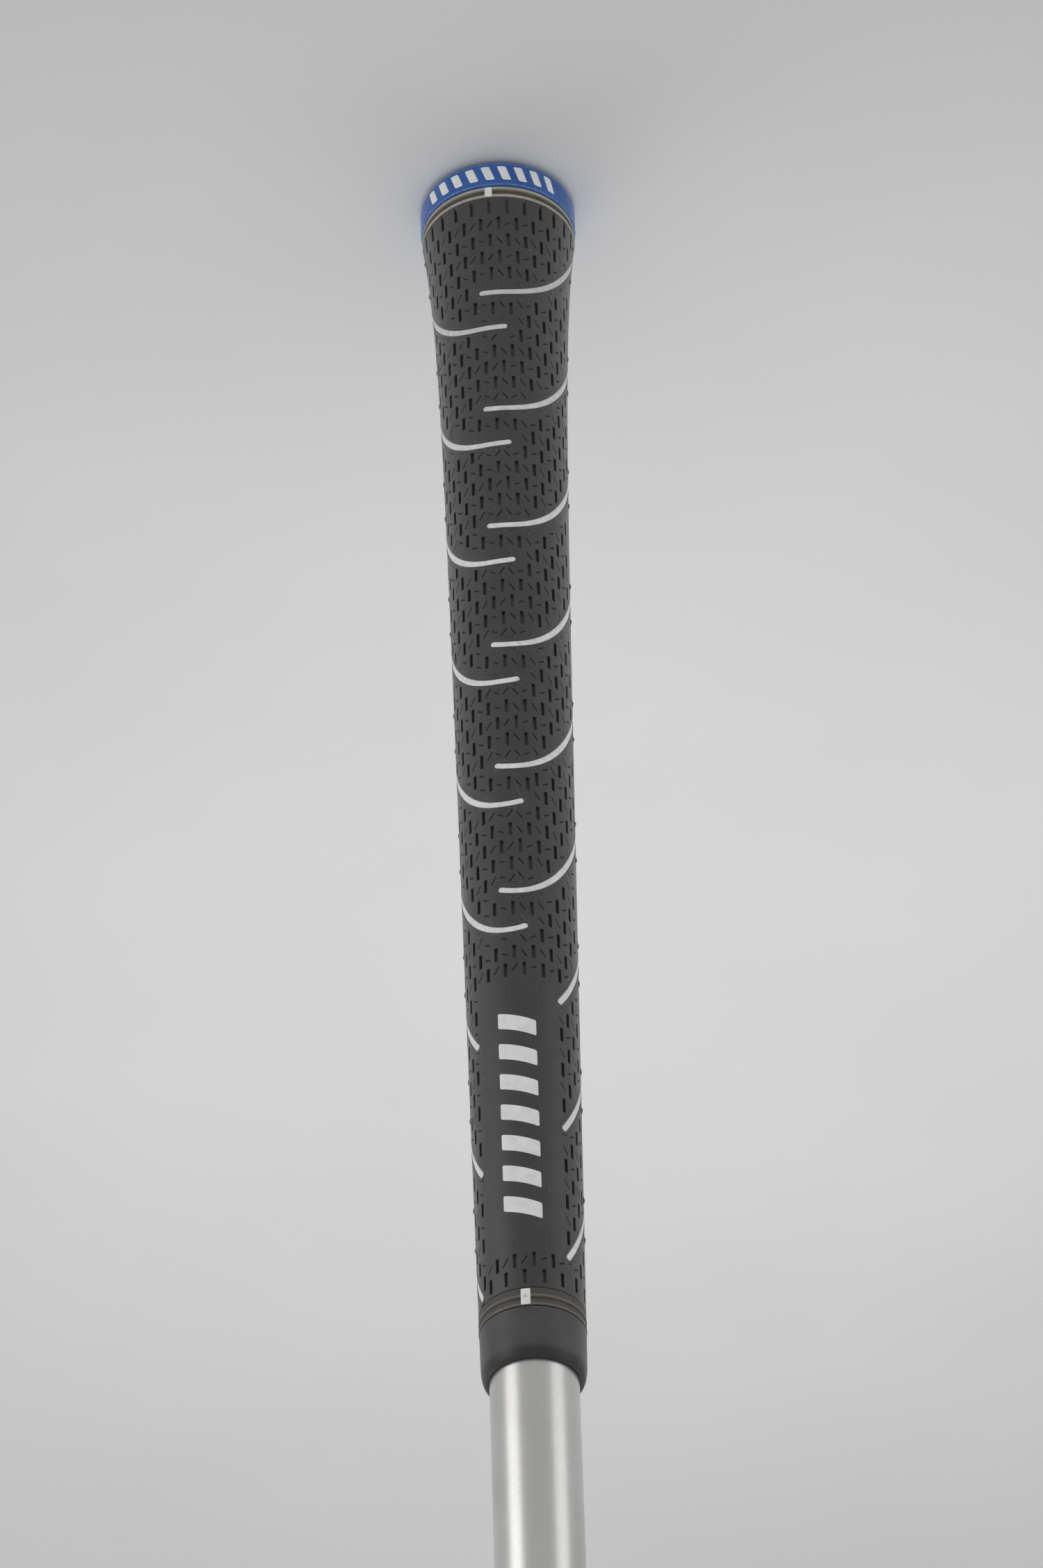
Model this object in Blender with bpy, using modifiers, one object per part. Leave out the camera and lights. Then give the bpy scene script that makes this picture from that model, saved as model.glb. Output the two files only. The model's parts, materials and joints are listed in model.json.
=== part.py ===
"""Golf grip fitted on the butt end of a steel shaft.

The grip stands on its end cap. +Z runs along the shaft, from the cap towards the club head, and the
front of the grip, the side with the smooth panel, faces -Y. Left and right are as seen from the front
with the cap at the top. A place on the skin is given by its height z above the cap's end face and by
the angle round the axis, which is 0 at the front and grows towards the right.
"""

import math

import bmesh
import bpy

MM = 0.001

# Grip and shaft
GRIP_LENGTH = 266.7 * MM
SHAFT_DIAMETER = 15.24 * MM
SHAFT_WALL = 0.6 * MM
SHAFT_TOP = 320.0 * MM
SIDES = 48

# Skin radius: a straight taper plus a flare that dies away from the butt
TAPER_RADIUS = 11.975 * MM
TAPER_SLOPE = 0.01121
FLARE = 3.42 * MM
FLARE_REACH = 22.05 * MM
SKIN_STEPS = 13
SKIN_CROWDING = 2.2

# Fits
FIT_GAP = 0.2 * MM
END_GAP = 0.3 * MM

# End cap
CAP_RADIUS = 14.5 * MM
CAP_HEIGHT = 6.2 * MM
CAP_EDGE = 1.5 * MM
CAP_EDGE_STEPS = 4
CAP_FLOOR = 3.2 * MM
CAP_SOCKET_RADIUS = 11.0 * MM
VENT_RADIUS = 1.5 * MM

# Ring between cap and sleeve, and the trim ring near the mouth
JOINT_RING_BOTTOM = 6.5 * MM
JOINT_RING_TOP = 9.1 * MM
JOINT_RING_BORE = 12.8 * MM
TRIM_RING_BOTTOM = 253.3 * MM
TRIM_RING_TOP = 256.9 * MM
TRIM_RING_BORE = 8.9 * MM
RIDGE = 0.15 * MM
RING_GROOVE = 0.12 * MM
RING_RIDGE_SHARE = 0.34
RING_BEVEL_SHARE = 0.12

# Mouth of the sleeve
LIP_LENGTH = 3.5 * MM
LIP_DEPTH = 0.75 * MM
LIP_BORE_LENGTH = 3.3 * MM
LIP_STEPS = 3

# Tape between shaft and sleeve
TAPE_THICKNESS = 0.2 * MM
TAPE_END_MARGIN = 4.2 * MM

# Painted lines, moulded as grooves that rise towards the butt as they pass round the side
LINE_COUNT = 9
LINE_WIDTH = 1.2 * MM
LINE_PITCH = 27.62 * MM
FIRST_RIGHT_LINE = 31.2 * MM
LEFT_LINE_LAG = 8.3 * MM
LINE_RISE = 14.6 * MM
LINE_RISE_GROWTH = 0.011
LINE_BEND = 1.387
LINE_BEND_LOSS = 1.81
LINE_VERTEX = 0.8 * MM
LINE_OVERRUN = 2.0 * MM
LINE_TOP_LIMIT = 13.5 * MM
LINE_BOTTOM_LIMIT = 251.6 * MM
LINE_STEPS = 16
SMALL_TURN = 0.01
PAINT_DEPTH = 0.4 * MM

# Smooth panel on the front: the last lines start at its sides
PANEL_LINES = 3
PANEL_HALF_WIDTH = 8.3 * MM
PANEL_TOP_LEVEL = FIRST_RIGHT_LINE + (LINE_COUNT - PANEL_LINES - 0.5) * LINE_PITCH

# Slanted bars on the panel and on the cap
PANEL_BARS = 7
PANEL_BAR_WIDTH = 6.8 * MM
PANEL_BAR_HEIGHT = 3.3 * MM
PANEL_BAR_PITCH = 6.4 * MM
PANEL_BARS_MIDDLE = 217.2 * MM
PANEL_BAR_STEPS = 6
CAP_BARS = 9
CAP_BAR_WIDTH = 1.7 * MM
CAP_BAR_HEIGHT = 3.4 * MM
CAP_BAR_PITCH = 3.1 * MM
CAP_BARS_MIDDLE = 3.35 * MM
SMALL_BAR_STEPS = 2
BAR_SLANT = 0.32

# Alignment marks across the two rings
MARK_WIDTH = 1.7 * MM
MARK_DEPTH = 0.25 * MM
MARK_CLEARANCE = 1.0 * MM


def skin_radius(z):
    return TAPER_RADIUS - TAPER_SLOPE * z + FLARE * math.exp(-z / FLARE_REACH)


def around(radius, angle, z):
    """The point at this radius and height, angle radians to the right of the front."""
    return (-radius * math.sin(angle), -radius * math.cos(angle), z)


def clear_scene():
    for obj in list(bpy.data.objects):
        bpy.data.objects.remove(obj)


def new_collection(name):
    collection = bpy.data.collections.new(name)
    bpy.context.scene.collection.children.link(collection)
    return collection


def plain_material(name, color, roughness, metallic=0.0):
    material = bpy.data.materials.new(name)
    material.use_nodes = True
    shader = material.node_tree.nodes["Principled BSDF"]
    shader.inputs["Base Color"].default_value = (*color, 1.0)
    shader.inputs["Roughness"].default_value = roughness
    shader.inputs["Metallic"].default_value = metallic
    material.diffuse_color = (*color, 1.0)
    return material


def add_object(name, mesh, collection, material=None):
    obj = bpy.data.objects.new(name, mesh)
    collection.objects.link(obj)
    if material:
        mesh.materials.append(material)
    return obj


def turned(name, profile, collection, material):
    """A closed outline of (radius, z) points, turned round Z. It runs down the outside and up the bore."""
    mesh = bpy.data.meshes.new(name)
    points = [(radius, 0.0, z) for radius, z in profile]
    count = len(points)
    mesh.from_pydata(points, [(i, (i + 1) % count) for i in range(count)], [])
    obj = add_object(name, mesh, collection, material)
    screw = obj.modifiers.new("turn", "SCREW")
    screw.steps = SIDES
    screw.render_steps = SIDES
    screw.use_merge_vertices = True
    screw.merge_threshold = 0.00001
    screw.use_smooth_shade = True
    return obj


def patch(name, columns, place, depth, height, collection, material=None):
    """A curved plate on a turned surface, from depth below it to height above it.

    place(u, v, offset) gives the point at u, v from 0 to 1, raised by offset along the radius.
    """
    shape = bmesh.new()
    bmesh.ops.create_grid(shape, x_segments=columns, y_segments=1, size=0.5)
    for vertex in shape.verts:
        vertex.co = place(vertex.co.x + 0.5, vertex.co.y + 0.5, -depth)
    shape.normal_update()
    shape.faces.ensure_lookup_table()
    middle = shape.faces[columns // 2]
    outward = middle.calc_center_median()
    outward.z = 0.0
    if middle.normal.dot(outward) < 0.0:
        bmesh.ops.reverse_faces(shape, faces=shape.faces)
    mesh = bpy.data.meshes.new(name)
    shape.to_mesh(mesh)
    shape.free()
    obj = add_object(name, mesh, collection, material)
    solidify = obj.modifiers.new("thickness", "SOLIDIFY")
    solidify.thickness = depth + height
    solidify.offset = 1.0
    solidify.use_even_offset = True
    return obj


def cut(obj, cutters, name):
    """Cuts every object of the cutters collection out of obj."""
    for cutter in cutters.objects:
        cutter.hide_render = True
        cutter.display_type = "WIRE"
    boolean = obj.modifiers.new(name, "BOOLEAN")
    boolean.operation = "DIFFERENCE"
    boolean.operand_type = "COLLECTION"
    boolean.collection = cutters
    boolean.solver = "EXACT"


def paint_and_pocket(name, columns, place, parts, cutters, material):
    """A painted fill flush with the skin, and the cutter of the pocket that holds it."""

    def fill(u, v, offset):
        return place(u, v, offset, 0.0)

    def pocket(u, v, offset):
        return place(u, v, offset, FIT_GAP)

    patch(name, columns, fill, PAINT_DEPTH, 0.0, parts, material)
    patch(name + "_pocket", columns, pocket, PAINT_DEPTH + FIT_GAP, FIT_GAP, cutters)


def climb(turn, bend):
    """How far a line has risen at this turn, from 0 at the front to 1 at the side and 2 at the back."""
    if turn < math.pi / 2:
        return (1.0 - math.cos(turn)) ** bend
    return 2.0 - (1.0 + math.cos(turn)) ** bend


def turn_at(share, bend):
    """The turn at which climb gives this share."""
    if share < 1.0:
        return math.acos(1.0 - share ** (1.0 / bend))
    return math.acos((2.0 - share) ** (1.0 / bend) - 1.0)


def line_shape(level, side):
    """(height, angles) of the line whose front part lies at this level.

    height(angle) gives the line's height, and angles are its front and back ends. side is 1 on the
    right and -1 on the left.
    """
    radius = skin_radius(level)
    rise = LINE_RISE + LINE_RISE_GROWTH * level
    bend = LINE_BEND - LINE_BEND_LOSS * level
    vertex = LINE_VERTEX / radius
    overrun = LINE_OVERRUN / radius
    scale = math.pi / (math.pi - 2.0 * vertex)

    def height(angle):
        return level - rise * climb((side * angle - vertex) * scale, bend)

    def angle_at(z):
        return vertex + turn_at((level - z) / rise, bend) / scale

    front, back = -overrun, math.pi + overrun
    if level > PANEL_TOP_LEVEL:
        front = PANEL_HALF_WIDTH / radius
    if level > LINE_BOTTOM_LIMIT:
        front = max(front, angle_at(LINE_BOTTOM_LIMIT))
    if level - 2.0 * rise < LINE_TOP_LIMIT:
        back = angle_at(LINE_TOP_LIMIT)
    return height, (side * front, side * back)


def line_place(level, side):
    """Maps u along the line and v across it to a point on the skin."""
    height, (front, back) = line_shape(level, side)

    def place(u, v, offset, grow):
        angle = front + (back - front) * u
        z = height(angle)
        radius = skin_radius(z)
        slope = (height(angle + SMALL_TURN) - height(angle - SMALL_TURN)) / (2.0 * SMALL_TURN * radius)
        stretch = math.hypot(1.0, slope)
        across = (v - 0.5) * (LINE_WIDTH + 2.0 * grow)
        along = (2.0 * u - 1.0) * grow * side
        angle += (along - across * slope) / stretch / radius
        z += (across + along * slope) / stretch
        return around(skin_radius(z) + offset, angle, z)

    return place


def painted_lines(parts, cutters, material):
    for index in range(LINE_COUNT):
        right = FIRST_RIGHT_LINE + index * LINE_PITCH
        for word, side, level in (("right", 1, right), ("left", -1, right + LEFT_LINE_LAG)):
            name = f"paint_line_{word}_{index + 1}"
            paint_and_pocket(name, LINE_STEPS, line_place(level, side), parts, cutters, material)


def bar_place(middle_angle, middle_z, width, height, radius_at, slant_up=0.0, slant_round=0.0):
    """Maps u round the axis and v along it to a point of a bar, which may slant either way."""

    def place(u, v, offset, grow):
        round_ = (u - 0.5) * (width + 2.0 * grow)
        up = (v - 0.5) * (height + 2.0 * grow)
        z = middle_z + up + slant_up * round_
        radius = radius_at(z)
        angle = middle_angle + (round_ + slant_round * up) / radius
        return around(radius + offset, angle, z)

    return place


def panel_bars(parts, cutters, material):
    for index in range(PANEL_BARS):
        z = PANEL_BARS_MIDDLE + (index - (PANEL_BARS - 1) / 2) * PANEL_BAR_PITCH
        place = bar_place(0.0, z, PANEL_BAR_WIDTH, PANEL_BAR_HEIGHT, skin_radius, slant_up=BAR_SLANT)
        paint_and_pocket(f"panel_bar_{index + 1}", PANEL_BAR_STEPS, place, parts, cutters, material)


def cap_bars(parts, cutters, material):
    for index in range(CAP_BARS):
        angle = (index - (CAP_BARS - 1) / 2) * CAP_BAR_PITCH / CAP_RADIUS
        size = (CAP_BAR_WIDTH, CAP_BAR_HEIGHT)
        place = bar_place(angle, CAP_BARS_MIDDLE, *size, lambda z: CAP_RADIUS, slant_round=BAR_SLANT)
        paint_and_pocket(f"cap_bar_{index + 1}", SMALL_BAR_STEPS, place, parts, cutters, material)


def alignment_mark(name, bottom, top, radius, parts, cutters, material):
    """A white block across both ridges of a ring, from inside the groove to just proud of the ridges."""
    size = (MARK_WIDTH, top - bottom - 2 * FIT_GAP)
    place = bar_place(0.0, (bottom + top) / 2, *size, lambda z: radius)

    def block(u, v, offset):
        return place(u, v, offset, 0.0)

    def pocket(u, v, offset):
        return place(u, v, offset, 2 * FIT_GAP)

    patch(name, SMALL_BAR_STEPS, block, MARK_DEPTH, RIDGE / 2, parts, material)
    patch(name + "_pocket", SMALL_BAR_STEPS, pocket, MARK_DEPTH + FIT_GAP, MARK_CLEARANCE, cutters)


def end_cap(collection, material):
    edge = []
    for step in range(CAP_EDGE_STEPS + 1):
        turn = math.pi / 2 * step / CAP_EDGE_STEPS
        edge.append((CAP_RADIUS - CAP_EDGE * (1.0 - math.cos(turn)), CAP_EDGE * (1.0 - math.sin(turn))))
    bore = [
        (VENT_RADIUS, 0.0),
        (VENT_RADIUS, CAP_FLOOR),
        (CAP_SOCKET_RADIUS, CAP_FLOOR),
        (CAP_SOCKET_RADIUS, CAP_HEIGHT),
    ]
    return turned("end_cap", [(CAP_RADIUS, CAP_HEIGHT), *edge, *bore], collection, material)


def ridged_ring(name, bottom, top, bore, radius, collection, material):
    """A flat ring whose outside has a ridge at each end and a groove between them."""
    rim = RING_BEVEL_SHARE * (top - bottom)
    groove = RING_RIDGE_SHARE * (top - bottom)
    ridge = radius + RIDGE
    profile = [
        (radius, top),
        (ridge, top - rim),
        (ridge, top - groove + rim),
        (radius - RING_GROOVE, top - groove),
        (radius - RING_GROOVE, bottom + groove),
        (ridge, bottom + groove - rim),
        (ridge, bottom + rim),
        (radius, bottom),
        (bore, bottom),
        (bore, top),
    ]
    return turned(name, profile, collection, material)


def sleeve_profile():
    """The sleeve's outline: lip, trim ring seat, taper and flare, joint ring seat, spigot, and bore."""
    lip_bore = SHAFT_DIAMETER / 2 + FIT_GAP
    bore = lip_bore + TAPE_THICKNESS + FIT_GAP
    lip_start = GRIP_LENGTH - LIP_LENGTH
    lip = []
    for step in range(LIP_STEPS + 1):
        turn = math.pi / 2 * (1.0 - step / LIP_STEPS)
        radius = skin_radius(lip_start) - LIP_DEPTH * (1.0 - math.cos(turn))
        lip.append((radius, lip_start + LIP_LENGTH * math.sin(turn)))
    seat = TRIM_RING_BORE - FIT_GAP
    trim_seat = [
        (skin_radius(TRIM_RING_TOP + FIT_GAP), TRIM_RING_TOP + FIT_GAP),
        (seat, TRIM_RING_TOP + FIT_GAP),
        (seat, TRIM_RING_BOTTOM - FIT_GAP),
        (skin_radius(TRIM_RING_BOTTOM - FIT_GAP), TRIM_RING_BOTTOM - FIT_GAP),
    ]
    shoulder = JOINT_RING_TOP + FIT_GAP
    span = TRIM_RING_BOTTOM - FIT_GAP - shoulder
    skin = []
    for step in range(1, SKIN_STEPS + 1):
        z = shoulder + span * (1.0 - step / SKIN_STEPS) ** SKIN_CROWDING
        skin.append((skin_radius(z), z))
    joint_seat = JOINT_RING_BORE - FIT_GAP
    spigot = CAP_SOCKET_RADIUS - END_GAP
    foot = CAP_FLOOR + END_GAP
    step_up = (CAP_HEIGHT + JOINT_RING_BOTTOM) / 2
    butt = [
        (joint_seat, shoulder),
        (joint_seat, step_up),
        (spigot, step_up),
        (spigot, foot),
        (bore, foot),
    ]
    lip_foot = GRIP_LENGTH - LIP_BORE_LENGTH
    inside = [
        (bore, lip_foot - END_GAP),
        (lip_bore, lip_foot),
        (lip_bore, GRIP_LENGTH),
    ]
    return [*lip, *trim_seat, *skin, *butt, *inside]


def grip_tape(collection, material):
    """One turn of tape round the shaft, whose edges stay a facet apart."""
    radius = SHAFT_DIAMETER / 2 + FIT_GAP
    bottom = CAP_FLOOR + END_GAP + FIT_GAP
    top = GRIP_LENGTH - TAPE_END_MARGIN
    facet = math.tau / SIDES

    def place(u, v, offset):
        angle = math.pi + facet * (0.5 + (SIDES - 1) * u)
        return around(radius, angle, bottom + (top - bottom) * v)

    return patch("grip_tape", SIDES - 1, place, 0.0, TAPE_THICKNESS, collection, material)


def shaft(collection, material):
    radius = SHAFT_DIAMETER / 2
    bore = radius - SHAFT_WALL
    foot = CAP_FLOOR + END_GAP
    profile = [(radius, SHAFT_TOP), (radius, foot), (bore, foot), (bore, SHAFT_TOP)]
    return turned("shaft_butt_section", profile, collection, material)


def build():
    clear_scene()
    parts = new_collection("golf_grip")
    sleeve_cutters = new_collection("sleeve_pockets")
    cap_cutters = new_collection("cap_pockets")
    joint_cutters = new_collection("joint_ring_pocket")
    trim_cutters = new_collection("trim_ring_pocket")

    rubber = plain_material("rubber", (0.035, 0.035, 0.037), 0.62)
    blue = plain_material("cap_blue", (0.02, 0.11, 0.42), 0.32)
    olive = plain_material("ring_olive", (0.17, 0.16, 0.12), 0.55)
    paint = plain_material("line_paint", (0.72, 0.71, 0.68), 0.45)
    tape_paper = plain_material("tape_paper", (0.62, 0.58, 0.47), 0.8)
    steel = plain_material("shaft_steel", (0.55, 0.55, 0.54), 0.3, 1.0)

    painted_lines(parts, sleeve_cutters, paint)
    panel_bars(parts, sleeve_cutters, paint)
    cut(turned("grip_sleeve", sleeve_profile(), parts, rubber), sleeve_cutters, "pockets")

    cap_bars(parts, cap_cutters, paint)
    cut(end_cap(parts, blue), cap_cutters, "pockets")

    joint_radius = skin_radius(JOINT_RING_TOP)
    joint = (JOINT_RING_BOTTOM, JOINT_RING_TOP)
    joint_ring = ridged_ring("cap_joint_ring", *joint, JOINT_RING_BORE, joint_radius, parts, olive)
    alignment_mark("cap_alignment_mark", *joint, joint_radius, parts, joint_cutters, paint)
    cut(joint_ring, joint_cutters, "mark")

    trim_radius = skin_radius(TRIM_RING_BOTTOM)
    trim = (TRIM_RING_BOTTOM, TRIM_RING_TOP)
    trim_ring = ridged_ring("mouth_trim_ring", *trim, TRIM_RING_BORE, trim_radius, parts, olive)
    alignment_mark("mouth_alignment_mark", *trim, trim_radius, parts, trim_cutters, paint)
    cut(trim_ring, trim_cutters, "mark")

    grip_tape(parts, tape_paper)
    shaft(parts, steel)


build()
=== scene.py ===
"""The looks of a golf grip on the butt end of its shaft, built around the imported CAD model.

The grip stands on its end cap: +Z runs from the cap towards the club head, and the front, the side with
the smooth panel, faces -Y. "Right" and "left" are as seen from the front with the cap at the top, so
right is -X. A place on the skin is given by its level, the height over the cap's end face, and by its
distance round the skin from the middle of the front or of the back, growing to the right. In the pattern
of the skin, "above" means nearer the cap. Lengths are in metres.
"""

import json
import math

import bmesh
import bpy
import numpy as np
from mathutils import Matrix, Vector, noise

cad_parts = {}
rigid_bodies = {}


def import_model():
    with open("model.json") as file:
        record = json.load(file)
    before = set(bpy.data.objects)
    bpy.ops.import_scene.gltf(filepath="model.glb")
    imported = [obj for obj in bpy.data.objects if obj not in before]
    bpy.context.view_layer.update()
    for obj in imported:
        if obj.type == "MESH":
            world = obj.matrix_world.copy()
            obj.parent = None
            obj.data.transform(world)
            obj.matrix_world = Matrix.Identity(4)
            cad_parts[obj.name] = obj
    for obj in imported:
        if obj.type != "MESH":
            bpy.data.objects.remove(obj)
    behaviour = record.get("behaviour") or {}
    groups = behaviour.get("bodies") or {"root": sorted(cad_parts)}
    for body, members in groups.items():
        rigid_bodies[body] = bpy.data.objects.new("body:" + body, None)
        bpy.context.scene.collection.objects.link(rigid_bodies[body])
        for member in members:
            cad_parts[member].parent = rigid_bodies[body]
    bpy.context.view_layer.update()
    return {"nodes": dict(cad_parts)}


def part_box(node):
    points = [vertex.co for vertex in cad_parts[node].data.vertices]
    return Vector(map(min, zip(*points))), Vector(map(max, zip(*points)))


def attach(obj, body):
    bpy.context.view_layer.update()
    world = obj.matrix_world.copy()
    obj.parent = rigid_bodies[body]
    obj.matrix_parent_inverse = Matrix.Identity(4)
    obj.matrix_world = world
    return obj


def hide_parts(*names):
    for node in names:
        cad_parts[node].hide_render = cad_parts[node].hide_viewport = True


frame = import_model()

MM = 0.001

# Heights that the CAD model fixes
CAP_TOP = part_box("end_cap")[1].z
CAP_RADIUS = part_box("end_cap")[1].x
JOINT_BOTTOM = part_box("cap_joint_ring")[0].z
JOINT_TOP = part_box("cap_joint_ring")[1].z
TRIM_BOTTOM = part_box("mouth_trim_ring")[0].z
TRIM_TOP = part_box("mouth_trim_ring")[1].z
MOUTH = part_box("grip_sleeve")[1].z
SLEEVE_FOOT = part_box("grip_sleeve")[0].z
SHAFT_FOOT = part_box("shaft_butt_section")[0].z
SHAFT_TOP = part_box("shaft_butt_section")[1].z
SHAFT_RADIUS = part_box("shaft_butt_section")[1].x

# Skin radius: a straight taper plus a flare that dies away from the butt
TAPER_RADIUS = 11.975 * MM
TAPER_SLOPE = 0.01121
FLARE = 3.42 * MM
FLARE_REACH = 22.05 * MM

# Painted lines, LINE_COUNT on each side. From its level at the front a line climbs towards the cap, by its
# rise to the side and as much again to the back. Rise and bend change with the level. A line is level
# LINE_VERTEX off the middle, and runs LINE_OVERRUN past the middles unless a limit cuts it. The last
# PANEL_LINES of a side start beside the panel.
LINE_COUNT = 9
LINE_WIDTH = 1.2 * MM
LINE_PITCH = 27.62 * MM
FIRST_RIGHT_LINE = 31.2 * MM
LEFT_LINE_LAG = 8.3 * MM
LINE_RISE = 14.6 * MM
LINE_RISE_GROWTH = 0.011
LINE_BEND = 1.387
LINE_BEND_LOSS = 1.81
LINE_VERTEX = 0.8 * MM
LINE_OVERRUN = 2.0 * MM
LINE_TOP_LIMIT = 13.5 * MM
LINE_BOTTOM_LIMIT = 251.6 * MM
PANEL_LINES = 3
PANEL_HALF_WIDTH = 8.3 * MM
PANEL_TOP_LEVEL = FIRST_RIGHT_LINE + (LINE_COUNT - PANEL_LINES - 0.5) * LINE_PITCH

# Places of the slits, in columns whose rows are staggered. Each band between two right-hand lines starts
# its rows anew, PANEL_ROW_LEAD higher from the last band above the panel on. The rows keep clear of the
# painted lines, by the gaps, as if every line had this one bend.
PATTERN_BEND = 1.25
PATTERN_LAG = 8.1 * MM
COLUMN = 1.675 * MM
ROW = 3.76 * MM
FIRST_ROW = 14.0 * MM
PANEL_ROW_LEAD = 0.7 * MM
RIGHT_GAP = 3.45 * MM
LEFT_GAP_ABOVE = 2.6 * MM
LEFT_GAP_BELOW = 3.0 * MM
BUTT_ROW = 3.85 * MM
FIRST_BUTT_ROW = 11.3 * MM
BUTT_GAP = 3.0 * MM
TRIM_GAP = 1.9 * MM

# Slits off the rows, counted from the start of the band: one in the middle column, and two more by
# (column, row)
MIDDLE_SLIT = 3.8 * MM
MOVED_SLITS = {(2, -2): 4.0 * MM, (-2, 4): LINE_PITCH + 3.4 * MM}

# The smooth panel, and the level of the one slit below it in the even and in the odd columns
PANEL_SKIN_TOP = 187.5 * MM
PANEL_SKIN_BOTTOM = 246.0 * MM
PANEL_SKIN_HALF_WIDTH = 8.0 * MM
SLITS_BELOW_PANEL = (250.9 * MM, 247.5 * MM)

# Shapes of the slits and nicks. A nick reaches NICK_REACH to both sides of its column's middle, and its
# floor the share NICK_FLOOR of that. Over its reach it falls or rises by NICK_RISE or LOW_NICK_RISE.
SLIT_LENGTH = 2.9 * MM
SLIT_WIDTH = 0.7 * MM
SLIT_DEPTH = 0.55 * MM
SLIT_WALL = 0.09 * MM
SLIT_WOBBLE = 0.12 * MM
NICK_REACH = 0.58 * MM
NICK_FLOOR = 0.8
NICK_RISE = 0.85 * MM
LOW_NICK_RISE = 0.3 * MM
NICK_WIDTH = 0.24 * MM
NICK_CLEARANCE = 1.35 * MM
NICK_DEPTH = 0.3 * MM
NICK_SPACING = 3.5 * MM
NICK_WOBBLE = 0.25 * MM

# Bars that stand for the lettering, and marks across the two rings
PANEL_BARS = 7
PANEL_BAR_WIDTH = 6.8 * MM
PANEL_BAR_HEIGHT = 3.3 * MM
CAP_BARS = 9
CAP_BAR_WIDTH = 1.7 * MM
CAP_BAR_HEIGHT = 3.4 * MM
CAP_BAR_PITCH = 3.1 * MM
BAR_SLANT = 0.32
BAR_CORNER = 0.35 * MM
MARK_WIDTH = 1.7 * MM
CAP_MARK_WIDTH = 1.4 * MM

# Rings
RIDGE = 0.15 * MM
RING_GROOVE = 0.12 * MM
RING_PLAY = 0.04 * MM
RING_STEPS = 48

# Mesh of the skin. It drops away by BED_DEPTH under the painted lines: wholly up to BED_FLOOR from their
# middle, and not at all from BED_RIM on.
GRID_ROW = 0.56 * MM
SKIN_THICKNESS = 0.9 * MM
SKIN_PLAY = 0.12 * MM
BED_DEPTH = 0.6 * MM
BED_FLOOR = 0.6 * MM
BED_RIM = 0.9 * MM

# Parting lines at the sides, with a nub of flash above each painted line
SEAM_MARGIN = 0.9 * MM
SEAM_RIDGE = 0.03 * MM
NUB_HEIGHT = 0.28 * MM
NUB_DISTANCE = 4.8 * MM
NUB_REACH = 0.6 * MM

# Mesh steps of the turned pieces and of the painted lines
TURN_STEPS = 192
LINE_STEPS = 45
LINE_END_STEPS = 8

# The paint's surface is uneven down to this height, with so many bumps a metre
PAINT_UNEVEN = 0.02 * MM
PAINT_BURIED = -0.2 * MM
PAINT_BUMPS = 900.0

# The floor lies a hair below the cap, so that the two faces don't meet
FLOOR_LEVEL = -0.3 * MM
FLOOR_HALF = 3.0


def skin_radius(level):
    return TAPER_RADIUS - TAPER_SLOPE * level + FLARE * np.exp(-level / FLARE_REACH)


def around(radius, angle, level):
    """Points at this radius and level, angle radians to the right of the front."""
    return np.stack(np.broadcast_arrays(-radius * np.sin(angle), -radius * np.cos(angle), level), axis=-1)


# ---------------------------------------------------------------- the painted lines' course


def climb(turn, bend):
    """How far a line has risen at this turn, from 0 at the front to 1 at the side and 2 at the back."""
    rising = np.maximum(1.0 - np.cos(turn), 0.0) ** bend
    settling = 2.0 - np.maximum(1.0 + np.cos(turn), 0.0) ** bend
    return np.where(turn < math.pi / 2, rising, settling)


def turn_at(share, bend):
    """The turn at which climb gives this share."""
    if share < 1.0:
        return math.acos(1.0 - share ** (1.0 / bend))
    return math.acos((2.0 - share) ** (1.0 / bend) - 1.0)


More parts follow.
